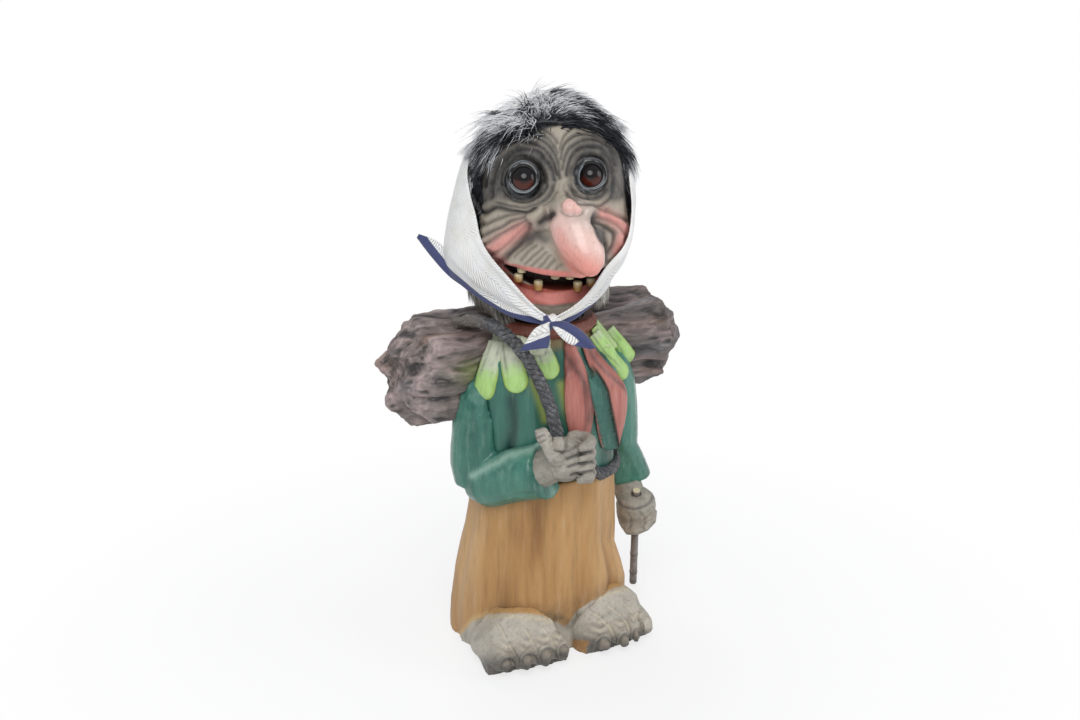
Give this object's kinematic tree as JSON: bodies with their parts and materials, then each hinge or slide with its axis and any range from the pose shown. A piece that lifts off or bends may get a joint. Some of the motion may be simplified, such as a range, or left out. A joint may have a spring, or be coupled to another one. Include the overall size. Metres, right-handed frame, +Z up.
{
  "type": "folk troll figure",
  "caption": "Standing folk troll figure with a headscarf, a bundle of wood on its back and a walking stick that draws out of its fist.",
  "frame": {"origin": "on the floor under the figure's waist, in the flat face that it stands on", "axes": "+Z up, -Y towards the figure's front, +X towards the figure's left hand"},
  "size_m": [0.3392, 0.2526, 0.5771],
  "materials": {
    "skirt_paint": "satin",
    "jacket_paint": "satin",
    "limb_paint": "matte",
    "face_paint": "satin",
    "wood_paint": "satin",
    "rope_paint": "satin",
    "leaf_paint": "satin",
    "brick_paint": "satin",
    "eye_glass": "glossy",
    "tooth_paint": "glossy",
    "fur": "fur",
    "scarf_cloth": "printed cotton",
    "twig": "rough"
  },
  "bodies": {
    "figure": {"skirt": "skirt_paint", "right_foot": "limb_paint", "left_foot": "limb_paint", "jacket": "jacket_paint", "right_sleeve": "jacket_paint", "left_sleeve": "jacket_paint", "right_hand": "limb_paint", "left_hand": "limb_paint", "rope_belt": "rope_paint", "carrying_rope": "rope_paint", "wood_bundle": "wood_paint", "leaf_collar": "leaf_paint", "neckerchief": "brick_paint", "head": "face_paint", "right_eye": "eye_glass", "left_eye": "eye_glass", "upper_teeth": "tooth_paint", "lower_teeth": "tooth_paint", "wig": "fur", "headscarf": "scarf_cloth", "scarf_knot": "scarf_cloth"},
    "stick": {"walking_stick": "twig"}
  },
  "joints": [
    {"name": "stick_slide", "type": "slide", "parent": "figure", "child": "stick", "axis": [-0.1737, -0.3134, 0.9336], "range_m": [0, 0.14]}
  ]
}
